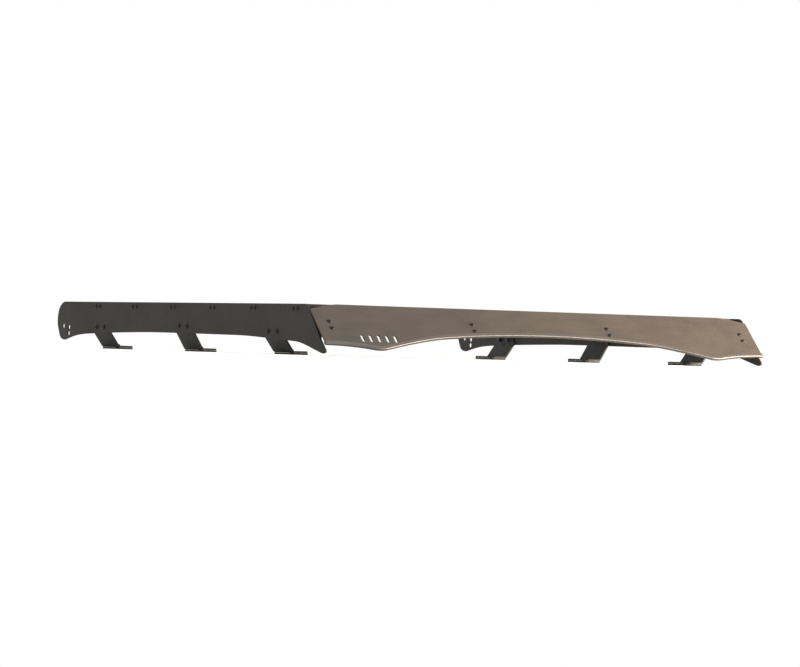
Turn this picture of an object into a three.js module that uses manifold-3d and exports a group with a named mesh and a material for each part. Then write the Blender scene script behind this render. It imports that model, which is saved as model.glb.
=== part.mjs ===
// Low roof rack for a crew-cab pickup: two plate side rails, six slotted crossbars, a leaning
// front fairing with a rubber edge trim, and six feet on rubber pads. Nothing on it moves.
// Millimetres, +Z up, front of the vehicle towards -Y, the vehicle's left side at +X.
import * as THREE from 'three';
import { mergeVertices } from 'three/addons/utils/BufferGeometryUtils.js';
import Module from 'manifold-3d';

const wasm = await Module();
wasm.setup();

// ---- driving dimensions ---------------------------------------------------------------------
const GAP = 0.3;                 // clearance between touching pieces
const HALF_WIDTH = 722;          // centreline to the outer face of a side rail
const RAIL_PLATE = 5;            // side rail plate thickness
const RAIL_INNER = HALF_WIDTH - RAIL_PLATE;

const BAR_COUNT = 6;
const BAR_FIRST_Y = 83;          // first crossbar's centreline behind the rail's front top corner
const BAR_PITCH = 251.4;
const BAR_WIDE = 50.8;
const BAR_TALL = 25.4;
const BAR_CORE = 12.7;           // the screw cores lie this far from the bar's top and sides
const BAR_CORE_R = 3.3;

const FOOT_Y = [213, 767, 1321]; // front, middle and rear foot
const FOOT_BOLT_Z = [-77, -68, -76];
const FOOT_BOLT_SPACING = 50.8;
const FOOT_LONG = 114;
const FOOT_PLATE = 5;
const FOOT_BASE_OUT = 31;        // how far the base starts inboard of the rail's inner face
const FOOT_BASE_WIDE = 52;
const PAD_THICK = 5;
const GROUND_Z = -141;           // underside of the rubber pads, from the rail's top edge
const ROOF_SLOT = [20, 9];       // roof bolt slot in each foot: length and width

const LEAN = Math.PI / 4;        // the fairing leans back from upright
const FAIRING_TOP_Y = 9;         // where its front face crosses the level of the rail tops
const FAIRING_PLATE = 4;
const FAIRING_RISE = 1.5;        // its top edge stands this far past that line, up the slope
const CORNER_CLIP = [88, 20];    // clipped top corners: along the edge and down the slope
const ARCH_DROP = 95;            // slope distance down to the middle of the lower edge
const ARCH_R = 2900;
const ARCH_HALF = 330;           // beyond this the arch bends down to the ears
const ARCH_BEND = [400, 121.8];  // control point of that bend
const EAR_INNER = [536, 162.9];
const EAR = [554.8, 167.4];      // lowest point of the lower edge: x and slope distance
const EAR_OUTER = [578, 162.5];
const SIDE_DROP = 149;           // slope distance down to the outer lower corners
const BOLT_PITCH = 25.4;
const OUTER_BOLTS = [680, 66];   // x and slope distance of the upper bolt of each pair
const INNER_BOLTS = [223.5, 61];
const VENT = { x: -546, drop: 127, count: 5, pitch: 26, wide: 8, tall: 27 };

const M6 = { shank: 3, head: 6, rise: 3.3, socket: 2.2, hole: 3.6 };
const M8 = { shank: 4, head: 7, rise: 4.2, socket: 2.8, hole: 4.5 };

// ---- materials ------------------------------------------------------------------------------
const coat = (color) => new THREE.MeshStandardMaterial({ color, roughness: 0.72, metalness: 0.1 });
const rubber = () => new THREE.MeshStandardMaterial({ color: 0x141414, roughness: 0.6, metalness: 0 });
const anodised = () => new THREE.MeshStandardMaterial({ color: 0x262627, roughness: 0.42, metalness: 0.8 });
const blackSteel = () => new THREE.MeshStandardMaterial({ color: 0x17171a, roughness: 0.4, metalness: 0.9 });

// ---- geometry helpers -----------------------------------------------------------------------
// Welds a geometry's shared corners, leaving only positions and true triangles.
function weld(geometry) {
  for (const name of ['normal', 'uv']) geometry.deleteAttribute(name);
  const merged = mergeVertices(geometry, 1e-4);
  const index = Array.from(merged.index.array);
  const kept = [];
  for (let i = 0; i < index.length; i += 3) {
    const [a, b, c] = index.slice(i, i + 3);
    if (a !== b && b !== c && c !== a) kept.push(a, b, c);
  }
  merged.setIndex(kept);
  return merged;
}

// The same solid with its faces outwards: a solid turned inside out has a negative volume.
function outward(geometry) {
  const welded = weld(geometry);
  const p = welded.attributes.position;
  const [a, b, c] = [new THREE.Vector3(), new THREE.Vector3(), new THREE.Vector3()];
  const index = Array.from(welded.index.array);
  let volume = 0;
  for (let i = 0; i < index.length; i += 3) {
    a.fromBufferAttribute(p, index[i]);
    b.fromBufferAttribute(p, index[i + 1]);
    c.fromBufferAttribute(p, index[i + 2]);
    volume += a.dot(b.cross(c));
  }
  if (volume < 0) index.reverse();
  welded.setIndex(index);
  return welded;
}

function toManifold(geometry) {
  const closed = outward(geometry);
  return new wasm.Manifold(new wasm.Mesh({
    numProp: 3,
    vertProperties: new Float32Array(closed.attributes.position.array),
    triVerts: new Uint32Array(closed.index.array),
  }));
}

function fromManifold(manifold) {
  const mesh = manifold.getMesh();
  const geometry = new THREE.BufferGeometry();
  geometry.setAttribute('position', new THREE.BufferAttribute(new Float32Array(mesh.vertProperties), 3));
  geometry.setIndex(Array.from(mesh.triVerts));
  return geometry;
}

const cut = (body, ...tools) => fromManifold(
  tools.reduce((left, tool) => left.subtract(toManifold(tool)), toManifold(body)));
const common = (body, ...tools) => fromManifold(
  tools.reduce((left, tool) => left.intersect(toManifold(tool)), toManifold(body)));

// A closed outline from corners [x, y, r]; each corner is eased over the length r.
function roundedOutline(corners) {
  const outline = new THREE.Shape();
  const at = (i) => new THREE.Vector2(...corners[(i + corners.length) % corners.length].slice(0, 2));
  corners.forEach(([, , r = 0], i) => {
    const corner = at(i);
    const toPrevious = at(i - 1).sub(corner);
    const toNext = at(i + 1).sub(corner);
    const ease = Math.min(r, toPrevious.length() / 2, toNext.length() / 2);
    const enter = corner.clone().addScaledVector(toPrevious.normalize(), ease);
    const leave = corner.clone().addScaledVector(toNext.normalize(), ease);
    if (i === 0) outline.moveTo(enter.x, enter.y);
    else outline.lineTo(enter.x, enter.y);
    if (ease > 0) outline.quadraticCurveTo(corner.x, corner.y, leave.x, leave.y);
  });
  outline.closePath();
  return outline;
}

function roundHole(x, y, r) {
  const hole = new THREE.Path();
  hole.absarc(x, y, r, 0, 2 * Math.PI, true);
  return hole;
}

// A slot with round ends, centred on (x, y); its length runs along x, or along y if upright.
function slotHole(x, y, length, width, upright = false) {
  const half = (length - width) / 2;
  const r = width / 2;
  const hole = new THREE.Path();
  const [dx, dy, turn] = upright ? [0, half, Math.PI / 2] : [half, 0, 0];
  hole.absarc(x + dx, y + dy, r, turn - Math.PI / 2, turn + Math.PI / 2, false);
  hole.absarc(x - dx, y - dy, r, turn + Math.PI / 2, turn + 1.5 * Math.PI, false);
  hole.closePath();
  return hole;
}

// Extrudes a shape along local z: its outline runs anticlockwise, its holes clockwise, and points
// that fall on one another are dropped.
function extrude(shape, depth, curveSegments = 4) {
  const drawn = shape.extractPoints(curveSegments);
  const clean = (points, clockwise) => {
    const apart = points.filter((q, i) => q.distanceTo(points[(i + 1) % points.length]) > 1e-3);
    return THREE.ShapeUtils.isClockWise(apart) === clockwise ? apart : apart.reverse();
  };
  const solid = new THREE.Shape(clean(drawn.shape, false));
  solid.holes = drawn.holes.map((hole) => new THREE.Path(clean(hole, true)));
  return new THREE.ExtrudeGeometry(solid, { depth, bevelEnabled: false });
}

// Turns a geometry drawn in the (y, z) plane and extruded along local z, so that it runs along X
// from x0.
const SIDEWAYS = new THREE.Matrix4().makeBasis(
  new THREE.Vector3(0, 1, 0), new THREE.Vector3(0, 0, 1), new THREE.Vector3(1, 0, 0));
const alongX = (geometry, x0) => geometry.applyMatrix4(SIDEWAYS).translate(x0, 0, 0);

// The same for a geometry drawn in the (z, x) plane, which then runs along Y from y0.
const LENGTHWAYS = new THREE.Matrix4().makeBasis(
  new THREE.Vector3(0, 0, 1), new THREE.Vector3(1, 0, 0), new THREE.Vector3(0, 1, 0));
const alongY = (geometry, y0) => geometry.applyMatrix4(LENGTHWAYS).translate(0, y0, 0);

// A plate of constant thickness bent along a centreline of 2D points, with mitred bends.
function bentStrip(points, thickness) {
  const line = points.map(([x, y]) => new THREE.Vector2(x, y));
  const normal = (i) => {
    const d = line[i + 1].clone().sub(line[i]).normalize();
    return new THREE.Vector2(-d.y, d.x);
  };
  const side = (sign) => line.map((point, i) => {
    const before = normal(Math.max(i - 1, 0));
    const after = normal(Math.min(i, line.length - 2));
    const mitre = before.clone().add(after).normalize();
    return point.clone().addScaledVector(mitre, sign * thickness / 2 / mitre.dot(after));
  });
  return new THREE.Shape([...side(1), ...side(-1).reverse()]);
}

// ---- assembly -------------------------------------------------------------------------------
const rack = new THREE.Group();
const fairingPlane = new THREE.Group();
fairingPlane.position.set(0, FAIRING_TOP_Y, 0);
fairingPlane.rotation.x = LEAN;
rack.add(fairingPlane);

function add(parent, name, geometry, material, place = {}) {
  const mesh = new THREE.Mesh(outward(geometry), material);
  mesh.name = name;
  if (place.position) mesh.position.set(...place.position);
  if (place.rotation) mesh.rotation.set(...place.rotation);
  parent.add(mesh);
  return mesh;
}

const SIDES = [['left', 1], ['right', -1]];
const barY = (i) => BAR_FIRST_Y + i * BAR_PITCH;
const bars = Array.from({ length: BAR_COUNT }, (_, i) => barY(i));

// ---- side rails: tall plates with a shallow arch between their two drooping ends ------------
const RAIL_OUTLINE = [
  [14, 0, 14], [1588, 0, 16], [1617, -20, 14], [1630, -62, 32], [1604, -112, 14],
  [1576, -118, 8], [1500, -103, 40], [1440, -98, 40], [1233, -92, 60], [991, -88, 80],
  [717, -89, 80], [372, -91, 60], [208, -98, 40], [54, -105, 30], [0, -117, 20],
  [-40, -126.5, 16], [-84, -136.5, 10], [-100, -130, 8], [-72, -103, 14],
];
const TIE_HOLES = [[1583, -75], [1543, -78], [1545, -97]];
const TIE_HOLE_R = 8;

function sideRail() {
  const plate = roundedOutline(RAIL_OUTLINE);
  for (const y of bars) {
    for (const step of [-BAR_CORE, BAR_CORE]) plate.holes.push(roundHole(y + step, -BAR_CORE, M6.hole));
  }
  FOOT_Y.forEach((y, i) => {
    for (const step of [-0.5, 0.5]) {
      plate.holes.push(roundHole(y + step * FOOT_BOLT_SPACING, FOOT_BOLT_Z[i], M8.hole));
    }
  });
  for (const [y, z] of TIE_HOLES) plate.holes.push(roundHole(y, z, TIE_HOLE_R));
  return extrude(plate, RAIL_PLATE);
}

for (const [side, sign] of SIDES) {
  const x0 = sign > 0 ? RAIL_INNER : -HALF_WIDTH;
  add(rack, `side_rail_${side}`, alongX(sideRail(), x0), coat(0x3b3936));
}

// ---- crossbars: wide extrusions with two T-slots on top, two screw cores and three chambers --
const SLOT = { neck: 3.3, lip: 2.3, half: 7.3, floor: 4.2, shoulder: 3.2, depth: 6.4 };
const CHAMBERS = [[-22.9, -19.2, -8.5], [-4, 4, -3.5], [19.2, 22.9, -8.5]];  // y0, y1, top
const CHAMBER_FLOOR = -22.9;
const barLength = 2 * (RAIL_INNER - GAP);

function crossbar() {
  const half = BAR_WIDE / 2;
  const centre = half - BAR_CORE;
  const slot = (y) => [
    [y + SLOT.neck, 0], [y + SLOT.neck, -SLOT.lip], [y + SLOT.half, -SLOT.lip],
    [y + SLOT.half, -SLOT.shoulder], [y + SLOT.floor, -SLOT.depth], [y - SLOT.floor, -SLOT.depth],
    [y - SLOT.half, -SLOT.shoulder], [y - SLOT.half, -SLOT.lip], [y - SLOT.neck, -SLOT.lip],
    [y - SLOT.neck, 0],
  ];
  const outline = roundedOutline([
    [half, -BAR_TALL, 1.5], [half, 0, 1.5], ...slot(centre), ...slot(-centre),
    [-half, 0, 1.5], [-half, -BAR_TALL, 1.5],
  ]);
  const body = alongX(extrude(outline, barLength, 2), -barLength / 2);
  const through = (geometry) => alongX(geometry, -barLength / 2 - 1);
  const cores = [-centre, centre].map((y) => {
    const core = new THREE.Shape();
    core.absarc(y, -BAR_CORE, BAR_CORE_R, 0, 2 * Math.PI, false);
    return through(extrude(core, barLength + 2, 6));
  });
  const chambers = CHAMBERS.map(([y0, y1, top]) => through(extrude(roundedOutline(
    [[y0, CHAMBER_FLOOR, 0], [y1, CHAMBER_FLOOR, 0], [y1, top, 0], [y0, top, 0]]), barLength + 2)));
  return cut(body, ...cores, ...chambers);
}

bars.forEach((y, i) => {
  add(rack, `crossbar_${i + 1}`, crossbar(), anodised(), { position: [0, y, 0] });
});

// ---- fairing: a flat plate drawn in its own plane, x across and y up the slope ---------------
// The lower edge from the right-hand corner over the arch to the left-hand one.
function lowerEdge() {
  const sweep = Math.asin(ARCH_HALF / ARCH_R);
  const half = new THREE.Path();
  half.moveTo(HALF_WIDTH, -SIDE_DROP);
  half.quadraticCurveTo(640, -SIDE_DROP - 0.5, EAR_OUTER[0], -EAR_OUTER[1]);
  half.quadraticCurveTo(EAR[0], -EAR[1], EAR_INNER[0], -EAR_INNER[1]);
  half.quadraticCurveTo(
    ARCH_BEND[0], -ARCH_BEND[1], ARCH_HALF, -ARCH_DROP - ARCH_R * (1 - Math.cos(sweep)));
  half.absarc(0, -ARCH_DROP - ARCH_R, ARCH_R, Math.PI / 2 - sweep, Math.PI / 2, false);
  const rightHalf = half.getPoints(6);
  const leftHalf = rightHalf.slice(0, -1).reverse().map((q) => new THREE.Vector2(-q.x, q.y));
  return [...rightHalf, ...leftHalf];
}

// The same edge moved outwards (down the slope) by a distance.
function offsetEdge(edge, distance) {
  return edge.map((point, i) => {
    const ahead = edge[Math.min(i + 1, edge.length - 1)];
    const behind = edge[Math.max(i - 1, 0)];
    const along = ahead.clone().sub(behind).normalize();
    const ends = i === 0 || i === edge.length - 1;
    const away = ends ? new THREE.Vector2(0, -1) : new THREE.Vector2(along.y, -along.x);
    if (away.y > 0) away.negate();
    return point.clone().addScaledVector(away, distance);
  });
}

function fairingPlate() {
  const [clipLong, clipDrop] = CORNER_CLIP;
  const top = [
    [-HALF_WIDTH, FAIRING_RISE - clipDrop], [-HALF_WIDTH + clipLong, FAIRING_RISE],
    [HALF_WIDTH - clipLong, FAIRING_RISE], [HALF_WIDTH, FAIRING_RISE - clipDrop],
  ].map(([x, y]) => new THREE.Vector2(x, y));
  const plate = new THREE.Shape([...top, ...lowerEdge()]);
  for (const [x, drop] of [OUTER_BOLTS, INNER_BOLTS]) {
    for (const [, sign] of SIDES) {
      for (const step of [0, BOLT_PITCH]) plate.holes.push(roundHole(sign * x, -drop - step, M6.hole));
    }
  }
  for (let i = 0; i < VENT.count; i += 1) {
    const x = VENT.x + (i - (VENT.count - 1) / 2) * VENT.pitch;
    plate.holes.push(slotHole(x, -VENT.drop, VENT.tall, VENT.wide, true));
  }
  return extrude(plate, FAIRING_PLATE).translate(0, 0, -FAIRING_PLATE);
}

add(fairingPlane, 'front_fairing', fairingPlate(), coat(0x6d645b));

// ---- edge trim: a rubber U-channel pushed onto the fairing's lower edge ----------------------
const TRIM = { out: 5, over: 7, lip: 2.6 };

function edgeTrim() {
  const edge = lowerEdge();
  const band = new THREE.Shape([...offsetEdge(edge, TRIM.out), ...offsetEdge(edge, -TRIM.over).reverse()]);
  const wall = TRIM.lip + GAP;
  const body = extrude(band, FAIRING_PLATE + 2 * wall).translate(0, 0, -FAIRING_PLATE - wall);
  const reach = HALF_WIDTH + 10;
  const inner = offsetEdge(edge, GAP);
  inner[0].x = reach;
  inner[inner.length - 1].x = -reach;
  const groove = new THREE.Shape([
    new THREE.Vector2(-reach, 0), new THREE.Vector2(reach, 0), ...inner]);
  const channel = extrude(groove, FAIRING_PLATE + 2 * GAP).translate(0, 0, -FAIRING_PLATE - GAP);
  return cut(body, channel);
}

add(fairingPlane, 'fairing_edge_trim', edgeTrim(), rubber());

// ---- fairing brackets ------------------------------------------------------------------------
const BRACKET_PLATE = 4;
const behindFairing = -FAIRING_PLATE - GAP;

// A cylinder across the fairing's plane, for a bolt hole through a bracket behind it.
const slopeDrill = (x, drop) => new THREE.CylinderGeometry(M6.hole, M6.hole, 60, 16)
  .rotateX(Math.PI / 2).translate(x, -drop, 0);

// Corner angles: one leg behind the fairing, the other on the rail's inner face.
const CORNER_LEG = [58, 42];
const CORNER_SPAN = [46, 112];
for (const [side, sign] of SIDES) {
  const outer = sign * (RAIL_INNER - GAP);
  const inner = outer - sign * BRACKET_PLATE;
  const section = roundedOutline([
    [outer, behindFairing, 3], [outer, behindFairing - CORNER_LEG[1], 0],
    [inner, behindFairing - CORNER_LEG[1], 0], [inner, behindFairing - BRACKET_PLATE, 3],
    [outer - sign * CORNER_LEG[0], behindFairing - BRACKET_PLATE, 0],
    [outer - sign * CORNER_LEG[0], behindFairing, 0],
  ]);
  const angle = extrude(section, CORNER_SPAN[1] - CORNER_SPAN[0])
    .rotateX(Math.PI / 2);
  // The section's second axis now runs along +Z of the fairing's frame and its length along -Y.
  angle.translate(0, -CORNER_SPAN[0], 0);
  const [x, drop] = OUTER_BOLTS;
  const drilled = cut(angle, slopeDrill(sign * x, drop), slopeDrill(sign * x, drop + BOLT_PITCH));
  add(fairingPlane, `fairing_corner_bracket_${side}`, drilled, coat(0x2e2c2a));
}

// Reach brackets: from the first crossbar's front face forward to the back of the fairing.
const REACH_WIDE = 46;
const barFront = BAR_FIRST_Y - BAR_WIDE / 2;
const onSlope = (drop, depth) => [
  FAIRING_TOP_Y - (drop + depth) * Math.SQRT1_2, (depth - drop) * Math.SQRT1_2];
for (const [side, sign] of SIDES) {
  const [x, drop] = INNER_BOLTS;
  const plateMid = behindFairing - BRACKET_PLATE / 2;
  const backY = barFront - GAP - BRACKET_PLATE / 2;
  const centreline = [[backY, -2.5], [backY, -32], onSlope(44, plateMid), onSlope(drop + 33, plateMid)];
  const strip = alongX(extrude(bentStrip(centreline, BRACKET_PLATE), REACH_WIDE), sign * x - REACH_WIDE / 2);
  const toRack = (geometry) => geometry.rotateX(LEAN).translate(0, FAIRING_TOP_Y, 0);
  const barDrill = new THREE.CylinderGeometry(M6.hole, M6.hole, 20, 16).translate(sign * x, backY, -BAR_CORE);
  const drilled = cut(strip, toRack(slopeDrill(sign * x, drop)),
    toRack(slopeDrill(sign * x, drop + BOLT_PITCH)), barDrill);
  add(rack, `fairing_reach_bracket_${side}`, drilled, coat(0x2e2c2a));
}

// ---- feet: a bent plate bolted inside the rail, stepping inboard to a base on a rubber pad ---
const FOOT_NAMES = ['front', 'middle', 'rear'];
const baseZ = GROUND_Z + PAD_THICK + GAP;
const baseOuter = RAIL_INNER - FOOT_BASE_OUT;
const baseInner = baseOuter - FOOT_BASE_WIDE;
const baseMid = (baseOuter + baseInner) / 2;

function baseOutline() {
  const half = FOOT_LONG / 2;
  const shape = roundedOutline([
    [baseOuter + 60, -half, 0], [baseOuter + 60, half, 0],
    [baseInner, half, 12], [baseInner, -half, 12]]);
  shape.holes.push(slotHole(baseMid, 0, ...ROOF_SLOT, true));
  return shape;
}

function foot(boltZ) {
  const mid = FOOT_PLATE / 2;
  const inFace = RAIL_INNER - GAP - mid;
  const floor = baseZ + mid;
  const top = boltZ + 17;
  const centreline = [[top, inFace], [boltZ - 14, inFace], [floor, baseOuter - mid], [floor, baseInner]];
  const strip = alongY(extrude(bentStrip(centreline, FOOT_PLATE), FOOT_LONG), -FOOT_LONG / 2);
  const tall = 120;
  const plan = extrude(baseOutline(), tall, 3).translate(0, 0, baseZ - 10);
  const half = FOOT_LONG / 2;
  const elevation = roundedOutline([
    [-half, baseZ - 10, 0], [half, baseZ - 10, 0], [half, boltZ - 14, 10], [half - 14, top, 8],
    [-half + 14, top, 8], [-half, boltZ - 14, 10]]);
  for (const step of [-0.5, 0.5]) elevation.holes.push(roundHole(step * FOOT_BOLT_SPACING, boltZ, M8.hole));
  const front = alongX(extrude(elevation, 200, 4), RAIL_INNER - 190);
  return common(strip, plan, front);
}

function footPad() {
  const half = FOOT_LONG / 2;
  const shape = roundedOutline([
    [baseOuter, -half, 8], [baseOuter, half, 8], [baseInner, half, 12], [baseInner, -half, 12]]);
  shape.holes.push(slotHole(baseMid, 0, ROOF_SLOT[0] + 4, ROOF_SLOT[1] + 4, true));
  return extrude(shape, PAD_THICK, 3).translate(0, 0, GROUND_Z);
}

const mirrored = (geometry, sign) => (sign > 0 ? geometry : geometry.scale(-1, 1, 1));
for (const [side, sign] of SIDES) {
  FOOT_NAMES.forEach((name, i) => {
    const place = { position: [0, FOOT_Y[i], 0] };
    add(rack, `foot_${name}_${side}`, mirrored(foot(FOOT_BOLT_Z[i]), sign), coat(0x242322), place);
    add(rack, `foot_pad_${name}_${side}`, mirrored(footPad(), sign), rubber(), place);
  });
}

// ---- button-head bolts, head up along +Y with the seat at the origin -------------------------
function buttonBolt({ shank, head, rise, socket }, length) {
  const dome = Array.from({ length: 2 }, (_, i) => {
    const turn = (i + 1) / 3 * Math.PI / 2;
    return [socket + (head - socket) * Math.cos(turn), rise * (0.25 + 0.75 * Math.sin(turn))];
  });
  const profile = [
    [0, -length], [shank, -length], [shank, 0], [head, 0], [head, rise * 0.25], ...dome,
    [socket, rise], [socket, rise * 0.4], [0, rise * 0.4],
  ].map(([r, y]) => new THREE.Vector2(r, y));
  return new THREE.LatheGeometry(profile, 10);
}

const seat = HALF_WIDTH + GAP;
const ROOF_BOLT_LONG = FOOT_PLATE + PAD_THICK - 1;   // stops just above the pad's underside
const nutTop = behindFairing - BRACKET_PLATE - GAP;
const NUT = { across: 10, tall: 6, bore: 3.3 };

function hexNut() {
  const corner = NUT.across / Math.sqrt(3);
  const points = Array.from({ length: 6 }, (_, i) => new THREE.Vector2(
    corner * Math.cos(i * Math.PI / 3), corner * Math.sin(i * Math.PI / 3)));
  const shape = new THREE.Shape(points);
  shape.holes.push(roundHole(0, 0, NUT.bore));
  return extrude(shape, NUT.tall, 5).translate(0, 0, -NUT.tall);
}

for (const [side, sign] of SIDES) {
  FOOT_NAMES.forEach((name, i) => {
    [['a', -0.5], ['b', 0.5]].forEach(([letter, step]) => {
      add(rack, `foot_bolt_${name}_${side}_${letter}`, buttonBolt(M8, 20), blackSteel(), {
        position: [sign * seat, FOOT_Y[i] + step * FOOT_BOLT_SPACING, FOOT_BOLT_Z[i]],
        rotation: [0, 0, -sign * Math.PI / 2] });
    });
    add(rack, `roof_bolt_${name}_${side}`, buttonBolt(M8, ROOF_BOLT_LONG), blackSteel(), {
      position: [sign * baseMid, FOOT_Y[i], baseZ + FOOT_PLATE + GAP], rotation: [Math.PI / 2, 0, 0] });
  });
  [['outer', OUTER_BOLTS], ['inner', INNER_BOLTS]].forEach(([place, [x, drop]]) => {
    [['upper', 0], ['lower', BOLT_PITCH]].forEach(([level, step]) => {
      const label = `${place}_${side}_${level}`;
      add(fairingPlane, `fairing_bolt_${label}`, buttonBolt(M6, 16), blackSteel(),
        { position: [sign * x, -drop - step, GAP], rotation: [Math.PI / 2, 0, 0] });
      add(fairingPlane, `fairing_nut_${label}`, hexNut(), blackSteel(),
        { position: [sign * x, -drop - step, nutTop] });
    });
  });
}

// ---- the origin goes under the middle of the whole rack --------------------------------------
rack.updateMatrixWorld(true);
const box = new THREE.Box3().setFromObject(rack, true);
const middle = box.getCenter(new THREE.Vector3());
rack.position.set(-middle.x, -middle.y, -box.min.z);

export default rack;
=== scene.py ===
# Low roof rack with a leaning front fairing, for a crew-cab pickup: looks, light and camera.
# Metres, +Z up, front of the vehicle towards -Y, the vehicle's left side at +X.
import math

import bmesh
import bpy
from mathutils import Matrix, Vector
from mathutils.geometry import delaunay_2d_cdt


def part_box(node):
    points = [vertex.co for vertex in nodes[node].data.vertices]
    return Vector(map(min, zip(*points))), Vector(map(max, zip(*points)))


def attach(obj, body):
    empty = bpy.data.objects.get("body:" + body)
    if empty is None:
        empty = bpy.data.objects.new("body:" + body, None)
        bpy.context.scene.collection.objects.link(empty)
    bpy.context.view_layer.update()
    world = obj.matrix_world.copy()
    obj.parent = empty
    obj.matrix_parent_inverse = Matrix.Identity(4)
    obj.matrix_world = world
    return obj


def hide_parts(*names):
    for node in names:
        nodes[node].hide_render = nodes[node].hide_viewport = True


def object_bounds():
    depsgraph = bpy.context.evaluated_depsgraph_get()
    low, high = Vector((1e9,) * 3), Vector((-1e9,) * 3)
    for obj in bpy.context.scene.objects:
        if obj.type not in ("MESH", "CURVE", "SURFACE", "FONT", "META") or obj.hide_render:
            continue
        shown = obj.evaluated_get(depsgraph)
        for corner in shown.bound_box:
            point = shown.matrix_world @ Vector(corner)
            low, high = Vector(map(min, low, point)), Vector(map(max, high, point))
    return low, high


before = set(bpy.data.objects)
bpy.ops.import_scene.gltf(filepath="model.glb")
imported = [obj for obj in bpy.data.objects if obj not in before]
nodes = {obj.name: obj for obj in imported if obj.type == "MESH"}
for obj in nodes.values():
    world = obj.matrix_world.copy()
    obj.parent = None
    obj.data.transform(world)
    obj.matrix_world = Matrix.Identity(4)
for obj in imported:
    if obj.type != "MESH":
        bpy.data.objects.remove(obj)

cad_low, cad_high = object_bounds()

MM = 0.001
SIDES = {"left": 1, "right": -1}
FEET = ("front", "middle", "rear")
LEAN = math.sqrt(0.5)                    # the fairing leans back by 45 degrees
ACROSS = Vector((1, 0, 0))
FAIRING_OUT = Vector((0, -LEAN, LEAN))   # square to the fairing, away from its front face
CROSSBARS = 6

# ---- sizes that the CAD boxes don't tell -----------------------------------------------------
RAIL_EDGE = 0.7 * MM                     # how far cut edges are rounded
SHEET_EDGE = 0.6 * MM
BAR_EDGE = 0.4 * MM
BAR_END_EDGE = 0.15 * MM
PAD_EDGE = 1.2 * MM
FAIRING_CORNER = 2.5 * MM
FOOT_PLATE = 5 * MM
FOOT_SHOULDER = 14 * MM                  # the foot's leg narrows by this much towards its top
FOOT_SLOT = {"half_long": 10 * MM, "half_wide": 4.5 * MM}
FOOT_CORNERS = [8 * MM, 8 * MM, 10 * MM, 12 * MM, 12 * MM, 10 * MM]
TRIM_OUT, TRIM_OVER = 5 * MM, 7 * MM     # the trim's reach past the fairing's edge and onto it
TRIM_CLEAR = 0.3 * MM                    # between the fairing's plate and the trim's groove
TRIM_ROUNDS = [0.4 * MM, 0.2 * MM, 0.2 * MM, 0.4 * MM,     # the groove's lips and bottom corners
               1.1 * MM, 4.2 * MM, 4.2 * MM, 1.1 * MM]     # the back lip, the rim and the front lip
REACH_KNEE = 17 * MM                     # from the upper nut up the slope to the reach bracket's bend
REACH_DROP = 29.5 * MM                   # the reach bracket's leg on the crossbar is this tall
STUD_HALF_PITCH = 17 * MM                # of the two studs in a corner bracket's leg on the rail
STUD_INSET = 18 * MM                     # from that leg's free edge to the studs
SEAT_GAP = 0.3 * MM                      # between a bracket and what it is bolted to
BRACKET_PLATE = 4 * MM
BEND_RADIUS = 6.5 * MM                   # of a bent plate's middle surface
CORNER_ANGLE = math.radians(35)          # an outline turns less than this where it is round
M6 = {"shank": 3 * MM, "head": 6 * MM, "rise": 3.3 * MM, "key": 2 * MM, "pitch": 1 * MM}
M8 = {"shank": 4 * MM, "head": 7 * MM, "rise": 4.2 * MM, "key": 2.5 * MM, "pitch": 1.25 * MM}
HOLE_M6 = 3.6 * MM
HOLE_M8 = 4.5 * MM
HEX_CORNER = 1.155                       # a hexagon's corner radius over its half width
LOCK_NUT = {"half_across": 5 * MM, "tall": 6 * MM, "bore": 3 * MM, "collar": 1.6 * MM}
FLANGE_NUT = {"half_across": 6.5 * MM, "tall": 8 * MM, "bore": 4 * MM, "flange": 8.9 * MM}
TURN_STEPS = 36                          # columns round a bolt
NUT_STEPS = 48
THREAD_ROWS = 8                          # rings in each turn of a thread
BEND_STEPS = 8                           # strips in each bend of a plate
RAIL_BOLT = 20 * MM                      # bolt lengths below the head
FAIRING_BOLT = 16.5 * MM
REACH_BOLT = 4 * MM


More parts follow.
